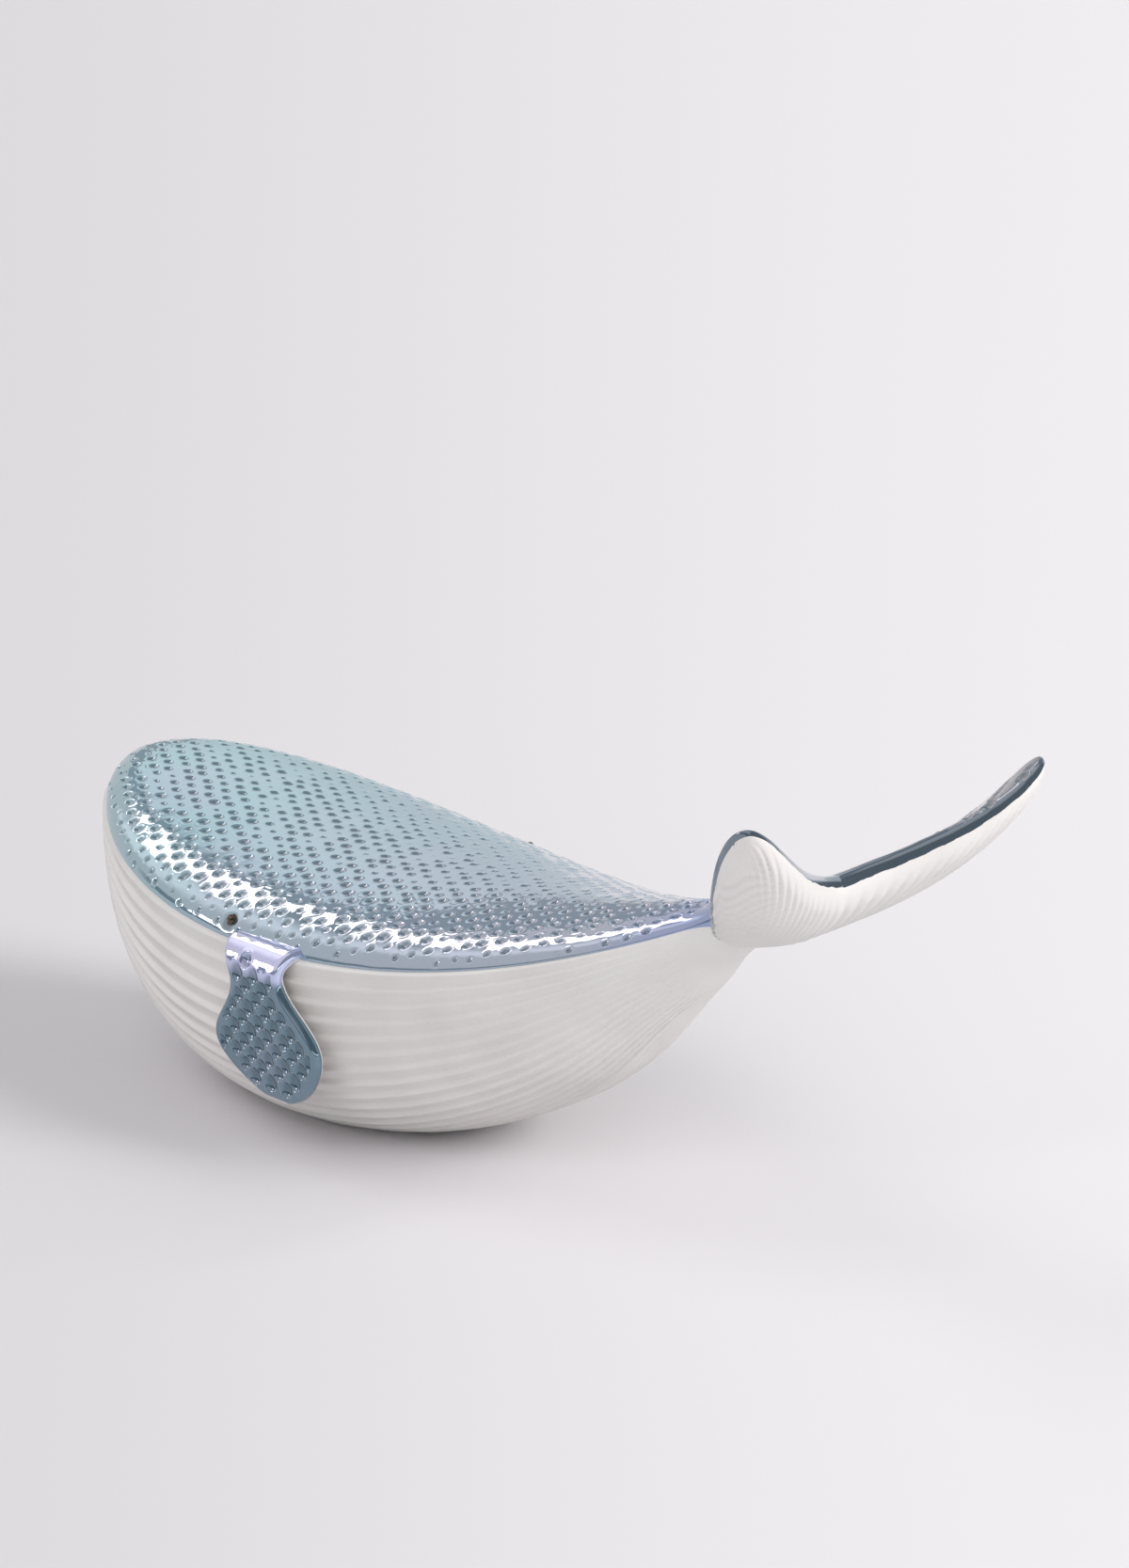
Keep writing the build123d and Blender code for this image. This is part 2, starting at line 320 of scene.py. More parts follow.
pleat_tree, pleat_in = shaping("belly_pleats", {
    "Depth": "NodeSocketFloat", "Ledge": "NodeSocketFloat", "Material": "NodeSocketMaterial"})
way = add(pleat_tree, "GeometryNodeInputNamedAttribute", {"data_type": "FLOAT"}, {"Name": "pleat_way"})
fade = add(pleat_tree, "GeometryNodeInputNamedAttribute", {"data_type": "FLOAT"}, {"Name": "pleat_fade"})
part_way = way.maths("FRACT", way)
ledge_up = part_way.ease(0.0, pleat_in["Ledge"])
face_down = ((1 - part_way) / (1 - pleat_in["Ledge"])).least(1.0)
rise = ledge_up.least(face_down ** 1.25) * fade * pleat_in["Depth"]
out_way = add(pleat_tree, "GeometryNodeInputNormal", {}, {})
lift = add(pleat_tree, "ShaderNodeVectorMath", {"operation": "SCALE"}, {0: out_way, "Scale": rise})
pleated = add(pleat_tree, "GeometryNodeSetPosition", {}, {"Geometry": pleat_in["Geometry"], "Offset": lift})
stand = add(pleat_tree, "GeometryNodeInputPosition", {}, {})
ground = add(pleat_tree, "ShaderNodeVectorMath", {"operation": "MAXIMUM"}, {0: stand, 1: (-9.0, -9.0, 0.0)})
grounded = add(pleat_tree, "GeometryNodeSetPosition", {}, {"Geometry": pleated, "Position": ground})
shaped(pleat_tree, grounded, pleat_in["Material"])
shape_piece(belly, pleat_tree, {"Depth": PLEAT_DEPTH * MM, "Ledge": PLEAT_LEDGE, "Material": biscuit})

vent_ring = [(VENT_RADIUS * math.cos(a), VENT_RADIUS * math.sin(a)) for a in np.arange(32) * pi / 16]
vent_points = [(x, y, z) for z in (-2.0, VENT_DEPTH) for x, y in vent_ring] + [(0, 0, -2.0), (0, 0, VENT_DEPTH + 1)]
vent_faces = grid_faces(2, 32, True) + fan([*range(32), 0], 64) + fan([*range(32, 64), 32], 65)
vent = make_piece("vent_core", vent_points, vent_faces, {})
vent.data.materials.append(biscuit)
drill = belly.modifiers.new("vent", "BOOLEAN")
drill.operation = "DIFFERENCE"
drill.solver = "EXACT"
drill.object = vent
keep_modified(belly)
bpy.data.objects.remove(vent)
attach(belly, "root")
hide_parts("belly_shell")

# Back: the upper half of the same casting, dipped in a blue-grey mother-of-pearl lustre glaze.
# Rows of round dimples are pressed into it while the clay is soft, smaller ones near the rim.
# The glaze ends in a thin rounded edge that stands just proud of the biscuit along the rim.

BACK_STATIONS = 462
BACK_COLUMNS = 206
GLAZE_THICKNESS = 0.3
DIMPLE_SPACING = 6.6
DIMPLE_JITTER = 0.4
DIMPLE_REACH = 2.1
DIMPLE_DEPTH = 0.66
SMALL_SHARE = 0.2
RIM_MARGIN = 2.4
RIM_BAND = 10.0
EYE_STATION = 0.42
EYE_RISE = 5.3
EYE_MARGIN = 5.5

fine_rows = (0.5 - 0.5 * np.cos(pi * np.linspace(0, 1, 6001))) ** 1.3
crown_line = np.stack([along(fine_rows), LOW_RIM + rim(fine_rows) + crown(fine_rows)], -1)
crown_run = np.concatenate([[0], np.cumsum(np.hypot(*np.diff(crown_line, axis=0).T))])
back_rows = np.interp(np.linspace(0, 1, BACK_STATIONS + 1)[1:] * crown_run[-1], crown_run, fine_rows)
back_rows[-1] = 1.0
even_shares = np.linspace(0, 0.5, BACK_COLUMNS // 2 + 1)
rim_shares = np.concatenate([[0, 0.0008, 0.0018, 0.0032], even_shares[1:]])
back_shares = np.concatenate([rim_shares, 1 - rim_shares[-2::-1]])
back_columns = len(back_shares)
back_sections = []
rim_clear = []
for s in back_rows:
    section, girth = half_oval(s, crown(s), back_fullness(s), back_shares)
    back_sections.append(section)
    rim_clear.append(np.minimum(back_shares, 1 - back_shares) * girth)
back_last = (BACK_STATIONS - 1) * back_columns
back_points = np.concatenate([*back_sections, snout, stock_end])
back_faces = grid_faces(BACK_STATIONS, back_columns)
back_faces += fan(range(back_columns), len(back_points) - 2)
back_faces += fan(range(back_last, back_last + back_columns), len(back_points) - 1)
port_edge = [i * back_columns for i in range(BACK_STATIONS)]
star_edge = [i * back_columns + back_columns - 1 for i in range(BACK_STATIONS)]
back_faces += [(a, b, d, c) for a, b, c, d in zip(port_edge, port_edge[1:], star_edge, star_edge[1:])]
back_faces += [(port_edge[0], star_edge[0], len(back_points) - 2)]
back_faces += [(port_edge[-1], star_edge[-1], len(back_points) - 1)]
rim_clear = np.concatenate([*rim_clear, [0, 0]])
glaze = GLAZE_THICKNESS * (1 - np.exp(-rim_clear / 0.22)) * MM
press_here = np.clip((rim_clear - 0.8) / 1.5, 0, 1)
back = make_piece("back_lustre", back_points, back_faces, {"glaze": glaze, "press": press_here})


def flank_at(s, height):
    """Distance of the glazed flank from the middle plane at a height."""
    lifted = (height - LOW_RIM - rim(s)) / crown(s)
    return half_width(s) * (1 - lifted ** back_fullness(s)) ** (1 / back_fullness(s))


eye_place = np.array([along(EYE_STATION), flank_at(EYE_STATION, LOW_RIM + EYE_RISE), LOW_RIM + EYE_RISE])


def dimple_points(name, places, reaches, depths):
    """A scratch object of bare points that carry each dimple's reach and depth."""
    mesh = bpy.data.meshes.new(name)
    mesh.from_pydata((np.asarray(places) * MM).tolist(), [], [])
    mesh.attributes.new("reach", "FLOAT", "POINT").data.foreach_set("value", np.array(reaches, np.float32) * MM)
    mesh.attributes.new("depth", "FLOAT", "POINT").data.foreach_set("value", np.array(depths, np.float32) * MM)
    points = bpy.data.objects.new(name, mesh)
    bpy.context.scene.collection.objects.link(points)
    return points


chance = np.random.default_rng(7)
places = []
reaches = []
depths = []
row_gap = DIMPLE_SPACING * math.sqrt(0.75)
for row in range(int(crown_run[-1] / row_gap)):
    row_middle = (row + 0.6) * row_gap
    s_row = np.interp(row_middle, crown_run, fine_rows)
    half_girth = half_oval(s_row, crown(s_row), back_fullness(s_row), np.array([0.0]))[1] / 2
    count = int(half_girth / DIMPLE_SPACING) + 1
    for column in range(-count, count + 1):
        down, across = chance.normal(0, DIMPLE_JITTER, 2)
        size = chance.random()
        vary = chance.normal(1, 0.08)
        v = (column + 0.5 * (row % 2)) * DIMPLE_SPACING + across
        s = np.interp(row_middle + down, crown_run, fine_rows)
        girth = half_oval(s, crown(s), back_fullness(s), np.array([0.0]))[1]
        clear = girth / 2 - abs(v)
        if clear < RIM_MARGIN or s > 0.985:
            continue
        place = half_oval(s, crown(s), back_fullness(s), np.array([0.5 + v / girth]))[0][0]
        if np.linalg.norm(np.abs(place) * (0, 1, 0) + place * (1, 0, 1) - eye_place) < EYE_MARGIN:
            continue
        scale = 0.62 if size < SMALL_SHARE else 1.0
        steep = 1.0
        if clear < RIM_BAND:
            scale *= 0.68
            steep = 2.0
        shallow = 1 - 0.12 * min(max((clear - 16) / 16, 0), 1)
        places.append(place)
        reaches.append(DIMPLE_REACH * scale * vary)
        depths.append(DIMPLE_DEPTH * scale * vary * shallow * steep)
for side in (-1, 1):
    places.append(eye_place * (1, side, 1))
    reaches.append(4.4)
    depths.append(0.45)
back_dimples = dimple_points("back_dimples", places, reaches, depths)

dimple_tree, dimple_in = shaping("pressed_dimples", {
    "Dimples": "NodeSocketObject", "Lip": "NodeSocketFloat", "Wander": "NodeSocketFloat",
    "Wander Scale": "NodeSocketFloat", "Material": "NodeSocketMaterial"})
here = add(dimple_tree, "GeometryNodeInputPosition", {}, {})
cloud = add(dimple_tree, "GeometryNodeObjectInfo", {}, {"Object": dimple_in["Dimples"]}, "Geometry")
nearest = add(dimple_tree, "GeometryNodeSampleNearest", {"domain": "POINT"}, {"Geometry": cloud, "Sample Position": here})
sampled = {}
for key, kind, field in (("centre", "FLOAT_VECTOR", here), ("reach", "FLOAT", None), ("depth", "FLOAT", None)):
    if field is None:
        field = add(dimple_tree, "GeometryNodeInputNamedAttribute", {"data_type": "FLOAT"}, {"Name": key})
    sampled[key] = add(dimple_tree, "GeometryNodeSampleIndex", {"data_type": kind, "domain": "POINT"},
                       {"Geometry": cloud, "Value": field, "Index": nearest})
apart = add(dimple_tree, "ShaderNodeVectorMath", {"operation": "DISTANCE"}, {0: here, 1: sampled["centre"]}, "Value")
ring = apart / sampled["reach"]
bowl = (1 - ring * ring).most(0.0) ** 1.25
lip = (1 - abs(ring - 1.0) / 0.34).most(0.0).ease(0.0, 1.0) * dimple_in["Lip"]
noise = add(dimple_tree, "ShaderNodeTexNoise", {}, {"Vector": here, "Scale": dimple_in["Wander Scale"], "Detail": 1.0})
press = add(dimple_tree, "GeometryNodeInputNamedAttribute", {"data_type": "FLOAT"}, {"Name": "press"})
glazed = add(dimple_tree, "GeometryNodeInputNamedAttribute", {"data_type": "FLOAT"}, {"Name": "glaze"})
height = (lip - bowl) * sampled["depth"] + (noise - 0.5) * dimple_in["Wander"]
surface_way = add(dimple_tree, "GeometryNodeInputNormal", {}, {})
push = add(dimple_tree, "ShaderNodeVectorMath", {"operation": "SCALE"},
           {0: surface_way, "Scale": height * press + glazed})
# Stores how deep in a dimple each point lies; the lustre darkens there, partly as glaze pooled thicker, partly as
# painted shade in the hollows.
pool_and_shade_stored = add(dimple_tree, "GeometryNodeStoreNamedAttribute", {"data_type": "FLOAT", "domain": "POINT"},
             {"Geometry": dimple_in["Geometry"], "Name": "pool", "Value": bowl * press})
pressed = add(dimple_tree, "GeometryNodeSetPosition", {}, {"Geometry": pool_and_shade_stored, "Offset": push})
shaped(dimple_tree, pressed, dimple_in["Material"])

LUSTRE_HEAD = (0.33, 0.53, 0.585)
LUSTRE_TAIL = (0.40, 0.485, 0.585)
LUSTRE_TIP = (0.32, 0.41, 0.62)
POOL_AND_SHADE_COLOUR = (0.07, 0.12, 0.15)
POOL_AND_SHADE_SHARE = 0.5


def graded(tree, fore, aft, start, end):
    """A colour that changes along the figure, from fore at x = start to aft at x = end."""
    spot = add(tree, "ShaderNodeTexCoord", {}, {}, "Object")
    x = add(tree, "ShaderNodeSeparateXYZ", {}, {"Vector": spot}, "X")
    return mix_colours(tree, x.ease(start, end), fore, aft)


def lustre_shader(tree, film):
    """Fired lustre: a thin metallic film on glossy glaze, clouded like mother-of-pearl. It darkens in the dimples'
    hollows: partly glaze pooled thicker there, partly painted shade.
    """
    spot = add(tree, "ShaderNodeTexCoord", {}, {}, "Object")
    cloud = add(tree, "ShaderNodeTexNoise", {}, {"Vector": spot, "Scale": 24.0, "Detail": 3.0})
    fleck = add(tree, "ShaderNodeTexNoise", {}, {"Vector": spot, "Scale": 700.0, "Detail": 2.0})
    pearl = mix_colours(tree, cloud.ease(0.45, 0.75) * 0.35, film, (0.46, 0.46, 0.60))
    tone = mix_colours(tree, fleck.ease(0.6, 0.8) * 0.25, pearl, (0.20, 0.27, 0.31))
    # Darker in the dimples' hollows: partly glaze pooled thicker, partly painted shade.
    pool = add(tree, "ShaderNodeAttribute", {"attribute_name": "pool"}, {}, "Fac")
    tone = mix_colours(tree, pool.ease(0.05, 0.7) * POOL_AND_SHADE_SHARE, tone, POOL_AND_SHADE_COLOUR)
    rough = 0.02 + cloud * 0.025 + fleck * 0.01
    sockets = {"Base Color": tone, "Roughness": rough, "Metallic": 0.78, "Coat Weight": 0.5,
               "Coat Roughness": 0.02, "Specular IOR Level": 0.6}
    return add(tree, "ShaderNodeBsdfPrincipled", {}, sockets)


lustre, lustre_tree = new_material("lustre_glaze")
lustre_film = graded(lustre_tree, LUSTRE_HEAD, LUSTRE_TAIL, -0.12, 0.14)
lustre_film = graded(lustre_tree, lustre_film, LUSTRE_TIP, 0.145, 0.18)
set_surface(lustre_tree, lustre_shader(lustre_tree, lustre_film))
shape_piece(back, dimple_tree, {"Dimples": back_dimples, "Lip": 0.16, "Wander": 0.35 * MM, "Wander Scale": 90.0,
                                "Material": lustre})
bpy.data.objects.remove(back_dimples)
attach(back, "root")
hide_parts("back_shell")

# Tail fluke: a thick lens of porcelain on a short neck, luted to the end of the stock with slip.
# Its underside is bare biscuit combed with fanning ribs, its upper face and edge carry the lustre.
# The joint with the stock is smoothed over into a soft hollow.

FLUKE_SPANS = 361
FLUKE_TURNS = 88
FLUKE_HALF_SPAN = 65.4
FLUKE_PITCH = math.radians(26.3)
RIB_DEPTH = 0.85
RIB_FAN_MIDDLE = 0.22
RIB_FAN_RATE = 0.9
RIB_GAP = 0.036
RIB_GAP_CHANGE = 0.9
FILLET = 19.0
FLUKE_DIMPLE_SPACING = 5.6


def fluke_point(span, turn):
    """A point of the fluke's skin: span from -1 to 1, turn 0 at the trailing edge, a half turn at the leading."""
    out = np.abs(span)
    taper = np.maximum(1 - out ** 3.1, 0) ** 0.39
    half = 25.5 * taper
    blunt = 1 - 0.15 * (1 + np.cos(turn))
    section = np.sign(np.sin(turn)) * np.abs(np.sin(turn)) ** blunt
    thick = np.where(section > 0, 8.2, 7.5) * (1 - 0.25 * out ** 1.2) * taper ** 0.5
    chordwise = 25.5 + 55.4 * out ** 1.34 + half * np.cos(turn)
    lift = (18.7 * out ** 3.9 - 4.3 * (1 - 0.85 * out) * taper * np.sin(turn) ** 2 + 0.25 * out * half * np.cos(turn)
            + thick * section)
    x = along(1) - 2.7 + chordwise * math.cos(FLUKE_PITCH) - lift * math.sin(FLUKE_PITCH)
    z = LOW_RIM + 33.3 + chordwise * math.sin(FLUKE_PITCH) + lift * math.cos(FLUKE_PITCH)
    return np.stack([x, FLUKE_HALF_SPAN * span + 0 * x, z], -1)


span_steps = np.linspace(-1, 1, FLUKE_SPANS)[1:-1]
spans = np.sign(span_steps) * (1 - (1 - np.abs(span_steps)) ** 1.7)
even_turns = np.arange(FLUKE_TURNS) / FLUKE_TURNS
turns = 2 * pi * even_turns - 0.42 * np.sin(2 * pi * even_turns)
span_grid, turn_grid = np.meshgrid(spans, turns, indexing="ij")
fluke_grid = fluke_point(span_grid, turn_grid)
tips = np.stack([fluke_point(np.array(-1.0), np.array(0.0)), fluke_point(np.array(1.0), np.array(0.0))])
fluke_points = np.concatenate([fluke_grid.reshape(-1, 3), tips])
ring_last = (len(spans) - 1) * FLUKE_TURNS
fluke_faces = grid_faces(len(spans), FLUKE_TURNS, True)
fluke_faces += fan([*range(FLUKE_TURNS), 0], len(fluke_points) - 2)
fluke_faces += fan([*range(ring_last, ring_last + FLUKE_TURNS), ring_last], len(fluke_points) - 1)
chord_share = (1 + np.cos(turn_grid)) / 2
under = np.clip(-np.sin(turn_grid) / 0.18, 0, 1)
rib_line = RIB_FAN_MIDDLE + (span_grid - RIB_FAN_MIDDLE) * np.exp(-RIB_FAN_RATE * chord_share)
rib_way = (np.exp(RIB_GAP_CHANGE * rib_line) - 1) / (RIB_GAP_CHANGE * RIB_GAP)
rib_fade = under * np.clip((0.985 - chord_share) / 0.10, 0, 1) * np.clip((0.985 - np.abs(span_grid)) / 0.08, 0, 1)
over = np.clip(np.sin(turn_grid) / 0.25, 0, 1) * np.clip((0.97 - np.abs(span_grid)) / 0.1, 0, 1)
lustre_edge = 0.055 + 0.035 * np.sin(span_grid * 41) * np.sin(span_grid * 17 + 1)
nose = np.where(chord_share < 0.5, lustre_edge + 0.34, 0.05 + 0.3 * lustre_edge)
lustre_mask = np.clip((np.sin(turn_grid) + nose) / 0.05, 0, 1)
fluke = make_piece("fluke_porcelain", fluke_points, fluke_faces, {
    "rib_way": [*rib_way.ravel(), 0, 0], "rib_fade": [*rib_fade.ravel(), 0, 0],
    "press": [*over.ravel(), 0, 0], "glaze": np.zeros(len(fluke_points)),
    "lustre": [*lustre_mask.ravel(), 1, 1]})

FLUKE_HEAD = (0.16, 0.22, 0.27)
FLUKE_TAIL = (0.20, 0.26, 0.31)
fluke_skin, fluke_tree = new_material("fluke_porcelain")
covered = add(fluke_tree, "ShaderNodeAttribute", {"attribute_name": "lustre"}, {}, "Fac")
ragged_spot = add(fluke_tree, "ShaderNodeTexCoord", {}, {}, "Object")
ragged = add(fluke_tree, "ShaderNodeTexNoise", {}, {"Vector": ragged_spot, "Scale": 420.0, "Detail": 3.0})
cover = (covered + (ragged - 0.5) * 0.5).ease(0.42, 0.58)
fluke_mix = add(fluke_tree, "ShaderNodeMixShader", {}, {
    0: cover, 1: biscuit_shader(fluke_tree), 2: lustre_shader(fluke_tree, graded(fluke_tree, FLUKE_HEAD, FLUKE_TAIL, 0.19, 0.25))})
set_surface(fluke_tree, fluke_mix)

rib_tree, rib_in = shaping("fluke_ribs", {"Depth": "NodeSocketFloat", "Material": "NodeSocketMaterial"})
rib_at = add(rib_tree, "GeometryNodeInputNamedAttribute", {"data_type": "FLOAT"}, {"Name": "rib_way"})
rib_kept = add(rib_tree, "GeometryNodeInputNamedAttribute", {"data_type": "FLOAT"}, {"Name": "rib_fade"})
rib_wave = abs(rib_at.maths("SINE", rib_at * pi))
rib_height = rib_wave ** 0.7 * rib_kept * rib_in["Depth"]
rib_out = add(rib_tree, "GeometryNodeInputNormal", {}, {})
rib_push = add(rib_tree, "ShaderNodeVectorMath", {"operation": "SCALE"}, {0: rib_out, "Scale": rib_height})
ribbed = add(rib_tree, "GeometryNodeSetPosition", {}, {"Geometry": rib_in["Geometry"], "Offset": rib_push})
shaped(rib_tree, ribbed, rib_in["Material"])
shape_piece(fluke, rib_tree, {"Depth": RIB_DEPTH * MM, "Material": fluke_skin})

places = []
reaches = []
depths = []
for row in range(-11, 12):
    for column in range(9):
        span = (row + 0.5 * (column % 2)) * FLUKE_DIMPLE_SPACING / FLUKE_HALF_SPAN
        if abs(span) > 0.94:
            continue
        room = 51.0 * (1 - abs(span) ** 3.1) ** 0.39
        share = ((column + 0.5) * FLUKE_DIMPLE_SPACING * 0.87 + chance.normal(0, 0.4)) / room
        if not 0.06 < share < 0.94:
            continue
        turn = math.acos(2 * share - 1)
        places.append(fluke_point(np.array(span + chance.normal(0, 0.006)), np.array(turn)))
        reaches.append(2.5 * chance.normal(1, 0.1))
        depths.append(0.55)
fluke_dimples = dimple_points("fluke_dimples", places, reaches, depths)
shape_piece(fluke, dimple_tree, {"Dimples": fluke_dimples, "Lip": 0.16, "Wander": 0.3 * MM, "Wander Scale": 90.0,
                                 "Material": fluke_skin})
bpy.data.objects.remove(fluke_dimples)


def smooth_joint(first, second, radius, beyond):
    """Draws slip into the joint of two pieces: near the other one, each skin is lifted towards it."""
    moves = []
    for piece, other in ((first, second), (second, first)):
        near = [p.vertices[:] for p in other.data.polygons if p.center.x > beyond - radius and abs(p.center.y) < 0.05]
        tree = BVHTree.FromPolygons([v.co[:] for v in other.data.vertices], near)
        shifted = []
        for v in piece.data.vertices:
            if v.co.x < beyond or v.co.x > beyond + 0.055 or abs(v.co.y) > 0.036:
                continue
            spot, way, _, gap = tree.find_nearest(v.co, radius)
            if spot is None or (v.co - spot).dot(way) < 0:
                continue
            shifted.append((v.index, v.normal * ((radius - gap) ** 2 / (4 * radius))))
        moves.append((piece, shifted))
    for piece, shifted in moves:
        for index, shift in shifted:
            piece.data.vertices[index].co += shift
        piece.data.update()


joint_start = float(along(0.93)) * MM
smooth_joint(belly, fluke, FILLET * MM, joint_start)
smooth_joint(back, fluke, FILLET * 0.7 * MM, joint_start)
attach(fluke, "root")
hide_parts("tail_fluke")

# Fins: two leaf-shaped plates pressed in a mould, bent over at the shoulder and luted to the flanks.
# The outer face is dimpled and lustred like the back; the edge and the inner face stay bare biscuit.

FIN_STATION = 0.484
FIN_DROP = 54.0
FIN_HALF_THICKNESS = 2.3
FIN_BEND = 7.5
FIN_LEAN = 6.0
FIN_STAND_OFF = 9.0
FIN_ROWS = 210
FIN_ACROSS = 112
FIN_EDGE = 10
FIN_DIMPLE_SPACING = 8.8
FIN_ROW_GAP = 4.2
FIN_COLOUR = (0.17, 0.27, 0.34)
FIN_SHELF_PAINTED_SHEEN = (0.60, 0.66, 0.92)
FIN_SHELF = (LOW_RIM - 5.0) * MM


def smooth_curve(knots, count):
    """A natural cubic spline through knots, spaced by chord length."""
    knots = np.asarray(knots, float)
    run = np.concatenate([[0], np.cumsum(np.linalg.norm(np.diff(knots, axis=0), axis=1))])
    gap = np.diff(run)
    size = len(knots)
    matrix = np.eye(size)
    right = np.zeros_like(knots)
    for i in range(1, size - 1):
        matrix[i, i - 1:i + 2] = gap[i - 1], 2 * (gap[i - 1] + gap[i]), gap[i]
        right[i] = 6 * ((knots[i + 1] - knots[i]) / gap[i] - (knots[i] - knots[i - 1]) / gap[i - 1])
    bend = np.linalg.solve(matrix, right)
    at = np.linspace(0, run[-1], count)
    k = np.clip(np.searchsorted(run, at, "right") - 1, 0, size - 2)
    h = gap[k][:, None]
    a = (run[k + 1] - at)[:, None]
    b = (at - run[k])[:, None]
    return ((bend[k] * a ** 3 + bend[k + 1] * b ** 3) / (6 * h)
            + (knots[k] / h - bend[k] * h / 6) * a + (knots[k + 1] / h - bend[k + 1] * h / 6) * b)


leaf = smooth_curve([(17, 2.7), (15.5, 10.3), (33, 32.4), (25.96, 48.6), (17, 54.0),
                     (-3.96, 51.6), (-23, 36.7), (-11.5, 15.7), (-17, 2.7)], 1200)
lowest = int(leaf[:, 1].argmax())
leaf_drop = leaf[lowest, 1]
aft_edge = leaf[:lowest + 1]
fore_edge = leaf[lowest:][::-1]


def fin_mid(run):
    """Middle of the starboard plate at a run from the flank: distance out, height, and its outward way."""
    flank = half_width(FIN_STATION)
    top = LOW_RIM + 4.0 - FIN_HALF_THICKNESS
    outer = flank + FIN_STAND_OFF - FIN_HALF_THICKNESS
    lean = math.atan2(FIN_LEAN, FIN_DROP + 2 * FIN_HALF_THICKNESS)
    sweep = pi / 2 + lean
    cut = FIN_BEND * math.tan(sweep / 2)
    shelf = outer - cut - (flank - 8.0)
    turn = np.clip((run - shelf) / FIN_BEND, 0, sweep)
    rest = np.maximum(run - shelf - FIN_BEND * sweep, 0)
    y = flank - 8.0 + np.minimum(run, shelf) + FIN_BEND * np.sin(turn) - rest * math.sin(lean)
    z = top - FIN_BEND * (1 - np.cos(turn)) - rest * math.cos(lean)
    return y, z, np.sin(turn), np.cos(turn)


run_fine = np.linspace(0, 90, 4000)
drop_fine = LOW_RIM + 4.0 - fin_mid(run_fine)[1]
run_end = np.interp(leaf_drop, drop_fine, run_fine)
fin_steps = np.linspace(0, 1, FIN_ROWS)
fin_runs = run_end * (1 - (1 - fin_steps) ** 1.6)


def fin_sides(run):
    """Fore and aft edge of the leaf at a run, from the middle of the root."""
    drop = np.interp(run, run_fine, drop_fine)
    aft = np.interp(drop, aft_edge[:, 1], aft_edge[:, 0])
    fore = np.interp(drop, fore_edge[:, 1], fore_edge[:, 0])
    return fore, aft


edge_turns = np.linspace(pi / 2, -pi / 2, FIN_EDGE + 2)[1:-1]
face_steps = np.linspace(-1, 1, FIN_ACROSS)
fin_points = []
fin_lustre = []
fin_press = []
for run in fin_runs[:-1]:
    y, z, out_y, out_z = (float(v) for v in fin_mid(np.array(run)))
    fore, aft = (float(v) for v in fin_sides(np.array(run)))
    to_tip = run_end - run
    thick = FIN_HALF_THICKNESS * math.sqrt(max(1 - max(1 - to_tip / 2.6, 0) ** 2, 0.0004))
    middle = (fore + aft) / 2
    half = max((aft - fore) / 2, 0.02)
    soft = min(FIN_HALF_THICKNESS, half * 0.5)
    flat = half - soft
    ring_x = [*(middle + flat * face_steps), *(middle + flat + soft * np.cos(edge_turns)),
              *(middle - flat * face_steps), *(middle - flat - soft * np.cos(edge_turns))]
    ring_n = [*np.full(FIN_ACROSS, thick), *(thick * np.sin(edge_turns)),
              *np.full(FIN_ACROSS, -thick), *(-thick * np.sin(edge_turns))]
    for x, n in zip(ring_x, ring_n):
        fin_points.append((along(FIN_STATION) + x, y + n * out_y, z + n * out_z))
    tip_fade = min(max((to_tip - 0.8) / 0.8, 0), 1)
    edge_mask = np.clip((np.sin(edge_turns) - 0.35) / 0.3, 0, 1)
    aft_mask = np.clip((np.sin(edge_turns) + 0.6) / 0.3, 0, 1)
    fin_lustre += [*np.full(FIN_ACROSS, tip_fade), *(aft_mask * tip_fade), *np.zeros(FIN_ACROSS),
                   *(edge_mask[::-1] * tip_fade)]
    face_press = np.clip((1 - np.abs(face_steps)) * flat / 1.5, 0, 1) * min(max((to_tip - 2) / 2, 0), 1)
    fin_press += [*face_press, *np.zeros(FIN_ACROSS + 2 * FIN_EDGE)]
ring_size = 2 * FIN_ACROSS + 2 * FIN_EDGE
tip_y, tip_z = (float(v) for v in fin_mid(np.array(run_end))[:2])
fin_points += [(along(FIN_STATION), float(fin_mid(np.array(0.0))[0]), float(fin_mid(np.array(0.0))[1])),
               (along(FIN_STATION) + float(np.mean(fin_sides(np.array(run_end)))), tip_y, tip_z)]
fin_rows = FIN_ROWS - 1
fin_faces = grid_faces(fin_rows, ring_size, True)
fin_faces += fan([*range(ring_size), 0], len(fin_points) - 2)
fin_start = (fin_rows - 1) * ring_size
fin_faces += fan([*range(fin_start, fin_start + ring_size), fin_start], len(fin_points) - 1)
fin_lustre += [0, 0]
fin_press += [0, 0]

places = []
reaches = []
depths = []
for row in range(int(run_end / FIN_ROW_GAP)):
    for column in range(-6, 7):
        run = (row + 0.5) * FIN_ROW_GAP + chance.normal(0, 0.3)
        x = (column + 0.5 * (row % 2)) * FIN_DIMPLE_SPACING + 3.0 + chance.normal(0, 0.3)
        fore, aft = fin_sides(np.array(run))
        if run < 15 or run > run_end - 3.6 or x < fore + 3.6 or x > aft - 3.6:
            continue
        y, z, out_y, out_z = fin_mid(np.array(run))
        places.append((along(FIN_STATION) + x, y + FIN_HALF_THICKNESS * out_y, z + FIN_HALF_THICKNESS * out_z))
        reaches.append(3.3 * chance.normal(1, 0.06))
        depths.append(1.35)
places = np.array(places, float)

